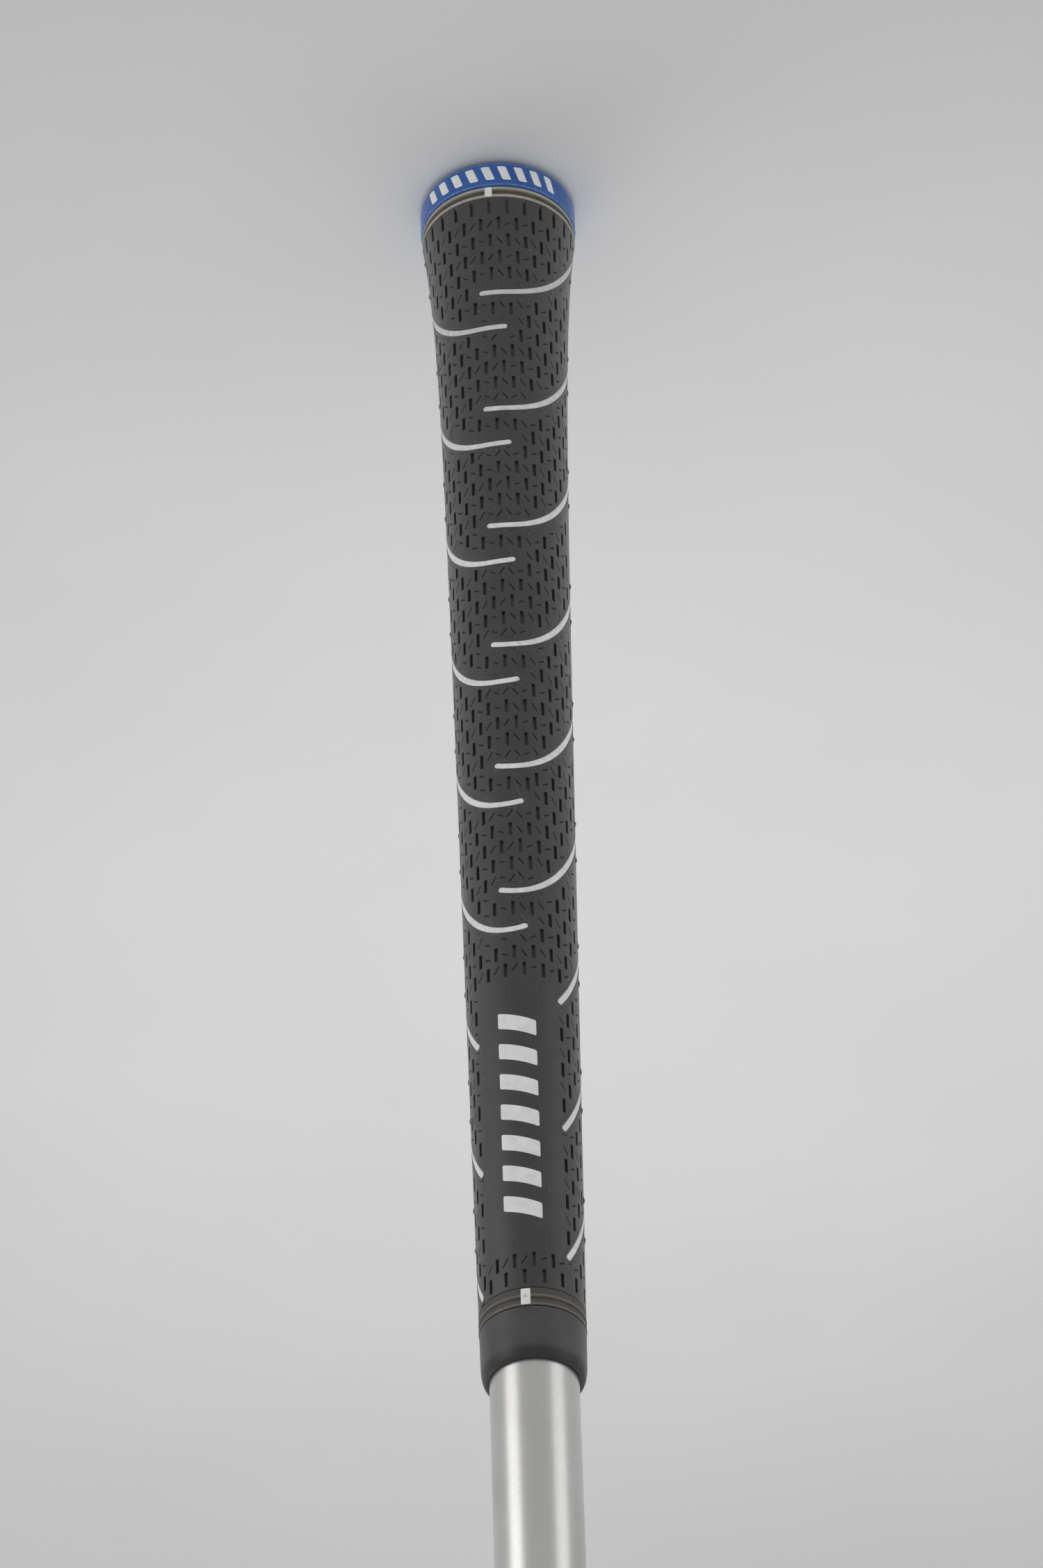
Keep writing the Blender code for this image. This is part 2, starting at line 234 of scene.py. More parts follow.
class PaintedLine:
    """The course of one painted line: side is 1 on the right and -1 on the left."""

    def __init__(self, index, side):
        self.side = side
        self.level = FIRST_RIGHT_LINE + index * LINE_PITCH + (LEFT_LINE_LAG if side < 0 else 0.0)
        radius = skin_radius(self.level)
        self.rise = LINE_RISE + LINE_RISE_GROWTH * self.level
        self.bend = LINE_BEND - LINE_BEND_LOSS * self.level
        self.vertex = LINE_VERTEX / radius
        self.scale = math.pi / (math.pi - 2.0 * self.vertex)
        self.front = -LINE_OVERRUN / radius
        self.back = math.pi + LINE_OVERRUN / radius
        if self.level > PANEL_TOP_LEVEL:
            self.front = PANEL_HALF_WIDTH / radius
        if self.level > LINE_BOTTOM_LIMIT:
            self.front = max(self.front, self.angle_at(LINE_BOTTOM_LIMIT))
        if self.level - 2.0 * self.rise < LINE_TOP_LIMIT:
            self.back = self.angle_at(LINE_TOP_LIMIT)

    def angle_at(self, level):
        return self.vertex + turn_at((self.level - level) / self.rise, self.bend) / self.scale

    def height(self, angle):
        """Level of the line's middle at this angle, counted from the front towards its own side."""
        return self.level - self.rise * climb((angle - self.vertex) * self.scale, self.bend)

    def slope(self, angle):
        step = 0.01
        rise = self.height(angle + step) - self.height(angle - step)
        return rise / (2.0 * step * skin_radius(self.height(angle)))

    def own_angle(self, angle):
        """An angle to the right of the front, counted towards the line's own side instead."""
        return (self.side * angle + math.pi / 2) % (2 * math.pi) - math.pi / 2

    def distance(self, angle, level):
        """Distance over the skin from places at this angle (to the line's own side) and level."""
        nearest = np.clip(angle, self.front, self.back)
        slope = self.slope(nearest)
        along = (angle - nearest) * skin_radius(level)
        across = level - self.height(nearest)
        return np.hypot(along, across / np.hypot(1.0, slope))

    def place(self, share, along, across, height):
        """Points at this share of the line's length, moved along and across it and raised by height."""
        angle = self.front + (self.back - self.front) * share
        level = self.height(angle)
        slope = self.slope(angle)
        stretch = np.hypot(1.0, slope)
        angle = angle + (along - across * slope) / stretch / skin_radius(level)
        level = level + (across + along * slope) / stretch
        return around(skin_radius(level) + height, self.side * angle, level)


LINES = {
    (word, index + 1): PaintedLine(index, side)
    for index in range(LINE_COUNT)
    for word, side in (("right", 1), ("left", -1))
}


# ---------------------------------------------------------------- where the slits and nicks are


def crossing(base, distance):
    """Level at which the line that starts at this level passes this far round from the front."""
    radius = skin_radius(base)
    vertex = LINE_VERTEX / radius
    scale = math.pi / (math.pi - 2.0 * vertex)
    rise = LINE_RISE + LINE_RISE_GROWTH * base
    level = base
    for _ in range(5):
        turn = (distance / skin_radius(level) - vertex) * scale
        level = base - rise * float(climb(turn, PATTERN_BEND))
    return level


def band_slits(column, band):
    """Levels of the slits of a column between two painted lines."""
    base = FIRST_RIGHT_LINE + band * LINE_PITCH
    odd = column % 2
    early = PANEL_ROW_LEAD if band >= LINE_COUNT - PANEL_LINES - 1 else 0.0
    if abs(column) <= 1:
        rows = [1] if odd else [0, 2]
        levels = [base + FIRST_ROW - early + ROW * row for row in rows]
        return levels if odd else [*levels, base + MIDDLE_SLIT]
    distance = abs(column) * COLUMN
    if column > 0:
        top = crossing(base, distance) + RIGHT_GAP
        bottom = crossing(base + LINE_PITCH, distance) - RIGHT_GAP
    else:
        start = base + PATTERN_LAG
        top = crossing(start, distance) + LEFT_GAP_ABOVE
        bottom = crossing(start + LINE_PITCH, distance) - LEFT_GAP_BELOW
    levels = []
    for row in range(-8, 9):
        level = base + FIRST_ROW - early + ROW * row
        if (column, row) in MOVED_SLITS:
            level = base + MOVED_SLITS[column, row]
        if (row - column) % 2 == 0 and top <= level <= bottom:
            levels.append(level)
    return levels


def front_slits(column):
    """Levels of the slits in a column of the front, column counted to the right from the middle."""
    distance = abs(column) * COLUMN
    first = crossing(FIRST_RIGHT_LINE + (PATTERN_LAG if column < 0 else 0.0), distance)
    if column == -1:
        first = FIRST_RIGHT_LINE
    levels = [level for band in range(-2, LINE_COUNT + 1) for level in band_slits(column, band)]
    levels = [level for level in levels if level > first]
    butt = [FIRST_BUTT_ROW + BUTT_ROW * row for row in range(9) if (row - column) % 2 == 0]
    levels += [level for level in butt if level < first - BUTT_GAP]
    if distance < PANEL_SKIN_HALF_WIDTH:
        levels = [level for level in levels if level <= PANEL_SKIN_TOP]
        levels.append(SLITS_BELOW_PANEL[column % 2])
    return sorted(level for level in levels if level < TRIM_BOTTOM - TRIM_GAP)


def back_slits(column):
    """The back carries the pattern of the front upside down, without the panel."""
    turned_over = FIRST_RIGHT_LINE * 2 + PATTERN_LAG - 2.0 * LINE_RISE + (LINE_COUNT - 1) * LINE_PITCH
    levels = [level for band in range(-2, LINE_COUNT + 2) for level in band_slits(-column, band)]
    levels = [turned_over - level for level in levels]
    return sorted(level for level in levels if FIRST_BUTT_ROW < level < TRIM_BOTTOM - TRIM_GAP)


def nick_slant(column):
    """How far a column's nicks fall from left to right: steeply where they lean outward."""
    outward = (column % 2 == 1) == (column > 0)
    rise = NICK_RISE if outward else LOW_NICK_RISE
    return rise if column % 2 else -rise


def on_panel(column, level):
    beside = abs(column) * COLUMN >= PANEL_SKIN_HALF_WIDTH
    return not beside and PANEL_SKIN_TOP < level < PANEL_SKIN_BOTTOM


def nicks_between(slits, column, back):
    """Levels of the nicks: they share out each gap between two slits, and stay off the painted lines."""
    clearance = NICK_CLEARANCE + abs(nick_slant(column))
    found = []
    for above, below in zip(slits, slits[1:]):
        count = max(1, round((below - above) / NICK_SPACING) - 1)
        found += [above + (below - above) * (i + 1) / (count + 1) for i in range(count)]
    kept = []
    for level in found:
        angle = column * COLUMN / skin_radius(level)
        if back:
            angle = math.pi - angle
        elif on_panel(column, level):
            continue
        if all(line.distance(line.own_angle(angle), level) >= clearance for line in LINES.values()):
            kept.append(level)
    return kept


# ---------------------------------------------------------------- mesh helpers


def mesh_object(name, points, faces, material, sharp_angle=None):
    mesh = bpy.data.meshes.new(name)
    mesh.from_pydata([tuple(p) for p in points], [], [tuple(f) for f in faces])
    mesh.materials.append(material)
    mesh.shade_smooth()
    if sharp_angle:
        mesh.set_sharp_from_angle(angle=math.radians(sharp_angle))
    obj = bpy.data.objects.new(name, mesh)
    bpy.context.scene.collection.objects.link(obj)
    return obj


def set_attribute(obj, name, values):
    attribute = obj.data.attributes.new(name, "FLOAT", "POINT")
    attribute.data.foreach_set("value", np.asarray(values, np.float32))


def grid_faces(rows, columns, close_rows=False, close_columns=False):
    """Quads between neighbours of a grid of points numbered row by row."""
    faces = []
    for i in range(rows if close_rows else rows - 1):
        for j in range(columns if close_columns else columns - 1):
            a = i * columns + j
            b = i * columns + (j + 1) % columns
            c = ((i + 1) % rows) * columns + (j + 1) % columns
            d = ((i + 1) % rows) * columns + j
            faces.append((a, b, c, d))
    return faces


def tidy(obj, distance, outward=True):
    """Joins points within this distance, and turns every face outward unless told not to."""
    shape = bmesh.new()
    shape.from_mesh(obj.data)
    bmesh.ops.remove_doubles(shape, verts=shape.verts, dist=distance)
    if outward:
        bmesh.ops.recalc_face_normals(shape, faces=shape.faces)
    shape.to_mesh(obj.data)
    shape.free()
    return obj


def arc(radius, level, size, start, end, steps):
    """Points of an arc about (radius, level), angles in degrees from +radius towards +level."""
    turns = [math.radians(start + (end - start) * i / steps) for i in range(steps + 1)]
    return [(radius + size * math.cos(t), level + size * math.sin(t)) for t in turns]


def lathe(name, profile, material):
    """A closed solid turned round Z from a closed outline of (radius, level) points."""
    angles = np.arange(TURN_STEPS) * (2.0 * math.pi / TURN_STEPS)
    points = [around(radius, angles, level) for radius, level in profile]
    faces = grid_faces(len(profile), TURN_STEPS, close_rows=True, close_columns=True)
    obj = mesh_object(name, np.concatenate(points), faces, material, sharp_angle=35)
    return tidy(obj, 1e-7)


# ---------------------------------------------------------------- materials


class Surface:
    """A Principled material with short calls that add nodes. Texture coordinates are in millimetres."""

    def __init__(self, name, roughness, metallic=0.0, **settings):
        self.material = bpy.data.materials.new(name)
        self.material.use_nodes = True
        self.tree = self.material.node_tree
        self.shader = self.tree.nodes["Principled BSDF"]
        self.set("Roughness", roughness)
        self.set("Metallic", metallic)
        for socket, value in settings.items():
            self.set(socket.replace("_", " "), value)
        place = self.tree.nodes.new("ShaderNodeTexCoord").outputs["Object"]
        scale = self.node("ShaderNodeVectorMath", {"operation": "SCALE"}, {0: place, "Scale": 1000.0})
        self.millimetres = scale.outputs[0]

    def set(self, socket, value):
        if isinstance(value, bpy.types.NodeSocket):
            self.tree.links.new(value, self.shader.inputs[socket])
        else:
            self.shader.inputs[socket].default_value = value

    def node(self, kind, settings, inputs):
        node = self.tree.nodes.new(kind)
        for key, value in settings.items():
            setattr(node, key, value)
        for key, value in inputs.items():
            if isinstance(value, bpy.types.NodeSocket):
                self.tree.links.new(value, node.inputs[key])
            else:
                node.inputs[key].default_value = value
        return node

    def noise(self, scale, detail=3.0, stretch=(1.0, 1.0, 1.0)):
        """Noise with features of about 1 / scale millimetres."""
        stretched = {0: self.millimetres, 1: stretch}
        vector = self.node("ShaderNodeVectorMath", {"operation": "MULTIPLY"}, stretched)
        inputs = {"Vector": vector.outputs[0], "Scale": scale, "Detail": detail}
        return self.node("ShaderNodeTexNoise", {}, inputs).outputs["Fac"]

    def specks(self, scale, share, radius):
        """1 inside sparse round specks, 0 elsewhere."""
        cells = self.node("ShaderNodeTexVoronoi", {}, {"Vector": self.millimetres, "Scale": scale})
        near = self.math("LESS_THAN", cells.outputs["Distance"], radius)
        split = self.node("ShaderNodeSeparateColor", {}, {0: cells.outputs["Color"]})
        return self.math("MULTIPLY", near, self.math("LESS_THAN", split.outputs[0], share))

    def math(self, operation, first, second=0.0):
        return self.node("ShaderNodeMath", {"operation": operation}, {0: first, 1: second}).outputs[0]

    def span(self, value, low, high, start=0.0, end=1.0):
        """value mapped from low..high to start..end, and held there outside."""
        inputs = {"Value": value, "From Min": low, "From Max": high, "To Min": start, "To Max": end}
        return self.node("ShaderNodeMapRange", {}, inputs).outputs[0]

    def mix(self, factor, first, second):
        colors = [c if isinstance(c, bpy.types.NodeSocket) else (*c, 1.0) for c in (first, second)]
        inputs = {0: factor, 6: colors[0], 7: colors[1]}
        return self.node("ShaderNodeMix", {"data_type": "RGBA"}, inputs).outputs[2]

    def level(self):
        """Height on the object in millimetres."""
        return self.node("ShaderNodeSeparateXYZ", {}, {0: self.millimetres}).outputs[2]

    def attribute(self, name):
        return self.node("ShaderNodeAttribute", {"attribute_name": name}, {}).outputs["Fac"]

    def bump(self, *heights):
        """Adds (height, strength, depth in millimetres) layers to the surface."""
        normal = None
        for height, strength, depth in heights:
            inputs = {"Height": height, "Strength": strength, "Distance": depth * MM}
            if normal:
                inputs["Normal"] = normal
            normal = self.node("ShaderNodeBump", {}, inputs).outputs[0]
        self.set("Normal", normal)


def rubber_material():
    """Dark moulded rubber: fine grain, handling shine, dust, and painted shade tinted by dirt in the slits.
    """
    rubber = Surface("rubber_moulded", 0.5, Specular_IOR_Level=0.85, Sheen_Weight=0.3, Sheen_Roughness=0.45)
    mottle = rubber.span(rubber.noise(0.22, 4.0), 0.35, 0.65)
    grain = rubber.noise(9.0, 2.0)
    color = rubber.mix(mottle, (0.0170, 0.0160, 0.0164), (0.0265, 0.0254, 0.0263))
    color = rubber.mix(rubber.span(grain, 0.4, 0.75, 0.0, 0.35), color, (0.034, 0.033, 0.0343))
    # Painted shade: the floors of the slits and nicks are mixed to near black, with a brownish tint of
    # dirt.
    shade_and_dirt = rubber.span(rubber.noise(0.5, 2.0), 0.35, 0.65, 0.55, 1.0)
    color = rubber.mix(rubber.math("MULTIPLY", rubber.attribute("painted_shade"), shade_and_dirt), color, (0.006, 0.005, 0.004))
    color = rubber.mix(rubber.specks(1.1, 0.035, 0.11), color, (0.32, 0.29, 0.25))
    rubber.set("Base Color", color)
    polish = rubber.span(rubber.noise(0.16, 3.0), 0.3, 0.7, 0.42, 0.54)
    rubber.set("Roughness", polish)
    rubber.bump((rubber.noise(0.8, 3.0), 0.25, 0.05), (grain, 0.35, 0.012))
    return rubber.material


def plain_rubber_material():
    """The smoother, paler rubber of the plain end, with painted shade darkening its lip at the mouth."""
    rubber = Surface("rubber_smooth", 0.5, Specular_IOR_Level=0.45, Sheen_Weight=0.15, Sheen_Roughness=0.5)
    grain = rubber.noise(9.0, 2.0)
    mottle = rubber.span(rubber.noise(0.22, 4.0), 0.35, 0.65)
    color = rubber.mix(mottle, (0.056, 0.0555, 0.056), (0.072, 0.0715, 0.0725))
    color = rubber.mix(rubber.span(grain, 0.4, 0.75, 0.0, 0.35), color, (0.082, 0.082, 0.0835))
    # Painted shade: the lip at the mouth darkens towards the shaft.
    color = rubber.mix(rubber.attribute("painted_shade"), color, (0.008, 0.0085, 0.010))
    rubber.set("Base Color", color)
    rubber.set("Roughness", rubber.span(rubber.noise(0.16, 3.0), 0.3, 0.7, 0.4, 0.52))
    rubber.bump((rubber.noise(0.8, 3.0), 0.2, 0.04), (grain, 0.3, 0.01))
    return rubber.material


def paint_material():
    """Off-white paint rubbed into the grooves, with grey flecks where worn, and greyer near the butt."""
    paint = Surface("groove_paint", 0.42, Specular_IOR_Level=0.5)
    cloud = paint.span(paint.noise(0.9, 3.0), 0.35, 0.65)
    color = paint.mix(cloud, (0.80, 0.805, 0.795), (0.95, 0.95, 0.935))
    flecks = paint.span(paint.noise(4.5, 3.0), 0.6, 0.72, 0.0, 0.6)
    color = paint.mix(flecks, color, (0.26, 0.25, 0.24))
    handled = paint.span(paint.level(), 25.0, 85.0, 0.4, 0.0)
    color = paint.mix(handled, color, (0.33, 0.32, 0.30))
    paint.set("Base Color", color)
    paint.set("Roughness", paint.span(paint.noise(2.0, 2.0), 0.3, 0.7, 0.34, 0.52))
    paint.bump((paint.noise(3.0, 3.0), 0.4, 0.03))
    return paint.material


def print_material():
    """The cleaner white of the bars and marks."""
    paint = Surface("print_white", 0.4, Specular_IOR_Level=0.5)
    cloud = paint.span(paint.noise(0.6, 3.0), 0.3, 0.7)
    color = paint.mix(cloud, (0.83, 0.84, 0.84), (0.95, 0.95, 0.94))
    color = paint.mix(paint.span(paint.noise(5.0, 2.0), 0.66, 0.74, 0.0, 0.4), color, (0.45, 0.45, 0.45))
    paint.set("Base Color", color)
    paint.set("Roughness", paint.span(paint.noise(2.5, 2.0), 0.3, 0.7, 0.3, 0.48))
    paint.bump((paint.noise(4.0, 2.0), 0.3, 0.02))
    return paint.material


def cap_material():
    """Glossy blue moulding with faint scuffs, and a painted highlight that makes its rounded edge paler."""
    blue = Surface("cap_gloss_blue", 0.28, Specular_IOR_Level=0.55)
    cloud = blue.span(blue.noise(0.25, 3.0), 0.3, 0.7)
    color = blue.mix(cloud, (0.018, 0.095, 0.36), (0.026, 0.125, 0.43))
    scuff = blue.span(blue.noise(2.6, 4.0, (1.0, 1.0, 0.35)), 0.62, 0.74, 0.0, 0.35)
    color = blue.mix(scuff, color, (0.12, 0.25, 0.55))
    # Painted highlight: a paler blue on the rounded edge and the rim, standing in for a reflection.
    edge_highlight = blue.span(blue.noise(1.2, 3.0), 0.3, 0.7, 0.25, 0.7)
    color = blue.mix(blue.math("MULTIPLY", blue.attribute("edge"), edge_highlight), color, (0.16, 0.30, 0.60))
    blue.set("Base Color", color)
    blue.set("Roughness", blue.span(blue.noise(1.5, 3.0), 0.3, 0.7, 0.2, 0.36))
    blue.bump((blue.noise(0.7, 2.0), 0.15, 0.03), (blue.noise(12.0, 2.0), 0.12, 0.004))
    return blue.material


def ring_material(name, dark, middle, pale):
    """Rubbery ring coloured by its tone attribute: 0 in the groove, 0.5 between, 1 on the ridges."""
    ring = Surface(name, 0.5, Specular_IOR_Level=0.45)
    tone = ring.attribute("tone")
    # Painted shade and painted highlight: the groove is mixed towards the dark tone, the ridges towards the
    # pale one.
    color = ring.mix(ring.span(tone, 0.0, 0.5), dark, middle)
    color = ring.mix(ring.span(tone, 0.5, 1.0), color, pale)
    cloud = ring.span(ring.noise(0.5, 4.0), 0.3, 0.7, 0.0, 0.35)
    color = ring.mix(cloud, color, middle)
    color = ring.mix(ring.span(ring.noise(3.5, 3.0), 0.58, 0.7, 0.0, 0.4), color, dark)
    ring.set("Base Color", color)
    ring.set("Roughness", ring.span(ring.noise(2.0, 2.0), 0.3, 0.7, 0.4, 0.6))
    ring.bump((ring.noise(2.2, 3.0), 0.4, 0.03))
    return ring.material


def steel_material():
    """Satin steel, polished round the tube, with fine marks along it."""
    steel = Surface("shaft_satin_steel", 0.3, metallic=1.0)
    turned = steel.noise(1.4, 3.0, (1.0, 1.0, 9.0))
    drawn = steel.noise(5.0, 3.0, (1.0, 1.0, 0.03))
    cloud = steel.span(steel.noise(0.08, 3.0), 0.3, 0.7)
    color = steel.mix(cloud, (0.70, 0.69, 0.675), (0.77, 0.765, 0.755))
    steel.set("Base Color", color)
    steel.set("Roughness", steel.span(turned, 0.3, 0.7, 0.27, 0.36))
    steel.bump((drawn, 0.12, 0.006), (turned, 0.1, 0.004))
    return steel.material


def tape_material():
    """Creped paper tape."""
    tape = Surface("tape_paper", 0.85, Specular_IOR_Level=0.2)
    color = tape.mix(tape.span(tape.noise(0.8, 4.0), 0.3, 0.7), (0.55, 0.50, 0.38), (0.66, 0.61, 0.48))
    tape.set("Base Color", color)
    tape.bump((tape.noise(2.5, 3.0, (1.0, 1.0, 6.0)), 0.6, 0.05))
    return tape.material


def floor_material():
    floor = Surface("pale_floor", 0.9, Specular_IOR_Level=0.1)
    cloud = floor.span(floor.noise(0.012, 3.0), 0.3, 0.7)
    floor.set("Base Color", floor.mix(cloud, (0.77, 0.77, 0.775), (0.80, 0.80, 0.80)))
    return floor.material


RUBBER = rubber_material()
SMOOTH_RUBBER = plain_rubber_material()
PAINT = paint_material()
PRINT = print_material()


# ---------------------------------------------------------------- the sleeve's skin


def smooth_step(value, low, high):
    share = np.clip((value - low) / (high - low), 0.0, 1.0)
    return share * share * (3.0 - 2.0 * share)


def seam_distance(level):
    """Distance from the middle of the front or back to the parting line at the side."""
    return math.pi / 2 * skin_radius(level)


def row_numbers(targets):
    """A different whole row for each target, in order and as near to it as the others allow."""
    ahead, behind = [], []
    for target in targets:
        ahead.append(max(round(target), ahead[-1] + 1 if ahead else 1))
    for target in reversed(targets):
        behind.append(min(round(target), behind[-1] - 1 if behind else 10**6))
    return [(a + b) // 2 for a, b in zip(ahead, reversed(behind))]


# What a mesh row of a column follows: a slit's end or its floor, a nick's middle or its edge
SLIT_END, SLIT_PIT, NICK_MIDDLE, NICK_EDGE = range(4)


def feature_rows(column, back, levels):
    """Rows that follow the slits and nicks of a column, as (row, level, slant, what it follows)."""
    slits = back_slits(column) if back else front_slits(column)
    nicks = nicks_between(slits, column, back)
    middle = abs(column) * COLUMN
    slits = [level for level in slits if middle + SEAM_MARGIN < seam_distance(level + SLIT_LENGTH / 2)]
    nicks = [level for level in nicks if middle + SEAM_MARGIN < seam_distance(level + SLIT_LENGTH / 2)]
    slant = nick_slant(column)
    wanted = []
    for level in slits:
        wobble = SLIT_WOBBLE * noise.noise(Vector((column * 1.7, level / MM * 0.9, 3.0 + back)))
        half = SLIT_LENGTH / 2 + wobble
        wanted += [(level - half, 0.0, SLIT_END), (level - half + SLIT_WALL, 0.0, SLIT_PIT)]
        wanted += [(level + half - SLIT_WALL, 0.0, SLIT_PIT), (level + half, 0.0, SLIT_END)]
    for level in nicks:
        level += NICK_WOBBLE * noise.noise(Vector((column * 2.3, level / MM * 0.7, 9.0 + back)))
        wanted.append((level, slant, NICK_MIDDLE))
        wanted += [(level + step * NICK_WIDTH, slant, NICK_EDGE) for step in (-1, 1)]
    wanted.sort()
    step = levels[1] - levels[0]
    numbers = row_numbers([(level - levels[0]) / step for level, _, _ in wanted])
    return [(number, *entry) for number, entry in zip(numbers, wanted) if 0 < number < len(levels) - 1]


def row_course(column, features, levels):
    """Rows that fix a column's course, with their levels and slants; past the seam rows are even again."""
    last = len(levels) - 1
    course = [(0, levels[0], 0.0), *[feature[:3] for feature in features]]
    beyond = np.nonzero(abs(column) * COLUMN + SLIT_WIDTH > seam_distance(levels))[0]
    even = next((row for row in beyond if row > course[-1][0] + 1), last)
    course += [(row, levels[row], 0.0) for row in sorted({even, last})]
    return zip(*course)


def column_lines(column, back, levels):
    """(distance, level, depth, pit) along the four inner mesh lines of a column."""
    features = feature_rows(column, back, levels)
    numbers, places, slants = row_course(column, features, levels)
    slit, nick, wide = (np.zeros(len(levels)) for _ in range(3))
    for number, _, _, kind in features:
        if kind in (NICK_MIDDLE, NICK_EDGE):
            wide[number] = 1.0
        if kind == NICK_MIDDLE:
            nick[number] = 1.0
    pits = [number for number, _, _, kind in features if kind == SLIT_PIT]
    for first, last in zip(pits[::2], pits[1::2]):
        slit[first : last + 1] = 1.0
    lines = []
    for offset, reach, inner in ((-1, -1, 0), (-1, -NICK_FLOOR, 1), (1, NICK_FLOOR, 1), (1, 1, 0)):
        flat = offset * (SLIT_WIDTH / 2 - inner * SLIT_WALL)
        spread = flat + (reach * NICK_REACH - flat) * wide
        slanted = [place + slant * reach for place, slant in zip(places, slants)]
        level = np.interp(np.arange(len(levels)), numbers, slanted)
        depth = inner * (slit * SLIT_DEPTH + nick * NICK_DEPTH)
        painted_shade = inner * np.maximum(slit, nick)
        lines.append((column * COLUMN + spread, level, depth, painted_shade))
    return lines


def line_dip(angle, level):
    """How far the skin drops away under the painted lines and their lips."""
    dip = np.zeros_like(angle)
    for line in LINES.values():
        distance = line.distance(line.own_angle(angle), level)
        dip = np.maximum(dip, BED_DEPTH * (1.0 - smooth_step(distance, BED_FLOOR, BED_RIM)))
    return dip


def flash(level):
    """How far the parting line stands out: a trace all along, and a nub above each painted line."""
    height = np.full_like(level, SEAM_RIDGE)
    for line in LINES.values():
        nub = float(line.height(math.pi / 2)) - NUB_DISTANCE
        height = np.maximum(height, NUB_HEIGHT * bump(level, nub, NUB_REACH))
    return height


def bump(value, middle, half_width):
    """A round hump, 1 high in its middle and 0 beyond its half width."""
    return np.sqrt(np.maximum(1.0 - ((value - middle) / half_width) ** 2, 0.0))


def skin_half(back, levels):
    """Points, pits and faces of the front or the back half of the skin, between the two parting lines."""
    reach = int(seam_distance(levels[0]) / COLUMN) + 1
    plain = np.zeros(len(levels))
    lines = []
    for column in range(-reach, reach + 1):
        lines.append(((column - 0.5) * COLUMN + plain, levels, plain, plain))
        lines += column_lines(column, back, levels)
    lines.append(((reach + 0.5) * COLUMN + plain, levels, plain, plain))
    distance, level, depth, painted_shade = (np.array([line[k] for line in lines]) for k in range(4))
    seam = seam_distance(level)
    outside = (np.abs(distance) >= seam) * np.sign(distance)
    angle = np.clip(distance, -seam, seam) / skin_radius(level)
    if back:
        angle = math.pi - angle
    depth = np.where(outside != 0.0, -flash(level), depth) + line_dip(angle, level)
    rim = np.full((len(lines), 1), SKIN_THICKNESS)
    depth = np.hstack([rim, depth, rim])
    outside, level, angle, painted_shade = (np.hstack([x[:, :1], x, x[:, -1:]]) for x in (outside, level, angle, painted_shade))
    points = around(skin_radius(level) - depth, angle, level)
    flags = outside.reshape(-1)
    faces = []
    for face in grid_faces(*level.shape):
        if abs(sum(flags[corner] for corner in face)) < 4:
            faces.append(face[::-1] if back else face)
    return points.reshape(-1, 3), painted_shade.reshape(-1), faces


def sleeve_core():
    """Outline of the sleeve's inside: spigot, ring seats, the bed of the skin, plain end, lip and bore."""
    steps = 14
    spigot = 10.7 * MM
    joint_seat = 12.6 * MM
    trim_seat = 8.7 * MM
    shoulder = CAP_TOP + 0.15 * MM
    bottom = JOINT_TOP + 0.25 * MM
    top = TRIM_BOTTOM - 0.25 * MM
    foot = [(spigot, SLEEVE_FOOT), (spigot, shoulder), (joint_seat, shoulder), (joint_seat, bottom)]
    bed = []
    for step in range(steps + 1):
        level = bottom + (top - bottom) * (step / steps) ** 2
        bed.append((skin_radius(level) - SKIN_THICKNESS + 0.05 * MM, level))
    end = TRIM_TOP + 0.15 * MM
    seat = [(trim_seat, TRIM_BOTTOM - 0.2 * MM), (trim_seat, end), (skin_radius(end), end)]
    return [*foot, *bed, *seat, *mouth_lip(steps), *sleeve_bore()]


def mouth_lip(steps):
    """The outside of the sleeve's mouth, drawn in towards the shaft."""
    length = 3.5 * MM
    draw = 0.75 * MM
    start = MOUTH - length
    turns = [math.radians(90.0 * step / steps) for step in range(steps + 1)]
    return [(skin_radius(start) - draw * (1.0 - math.cos(t)), start + length * math.sin(t)) for t in turns]


def sleeve_bore():
    """The sleeve's bore from the mouth down: a tight mouth, and room for the tape behind it."""
    edge = 0.2 * MM
    bore = SHAFT_RADIUS + 0.6 * MM
    mouth_bore = SHAFT_RADIUS + 0.05 * MM
    rounding = arc(mouth_bore + edge, MOUTH - edge, edge, 90, 180, 4)
    return [*rounding, (mouth_bore, MOUTH - 3.3 * MM), (bore, MOUTH - 3.6 * MM), (bore, SLEEVE_FOOT)]


def sleeve():
    """The sleeve as two pieces: the patterned skin, and the core that carries it."""
    bottom = JOINT_TOP + SKIN_PLAY
    top = TRIM_BOTTOM - SKIN_PLAY
    levels = np.linspace(bottom, top, round((top - bottom) / GRID_ROW) + 1)
    front = skin_half(False, levels)
    back = skin_half(True, levels)
    shift = len(front[0])
    points = np.concatenate([front[0], back[0]])
    faces = front[2] + [tuple(corner + shift for corner in face) for face in back[2]]
    skin = mesh_object("grip_skin", points, faces, RUBBER)
    # Painted shade in the floors of the slits and nicks, carried as an attribute.
    set_attribute(skin, "painted_shade", np.concatenate([front[1], back[1]]))
    tidy(skin, 2e-6, outward=False)
    skin.data.shade_smooth()
    skin.data.set_sharp_from_angle(angle=math.radians(32))
    core = lathe("sleeve_core", sleeve_core(), SMOOTH_RUBBER)
    heights = np.array([vertex.co.z for vertex in core.data.vertices])
    # Painted shade on the lip at the mouth, growing towards its end by the shaft.
    set_attribute(core, "painted_shade", 0.75 * smooth_step(heights, MOUTH - 2.6 * MM, MOUTH - 1.0 * MM))
    return skin, core


# ---------------------------------------------------------------- painted lines, bars and marks


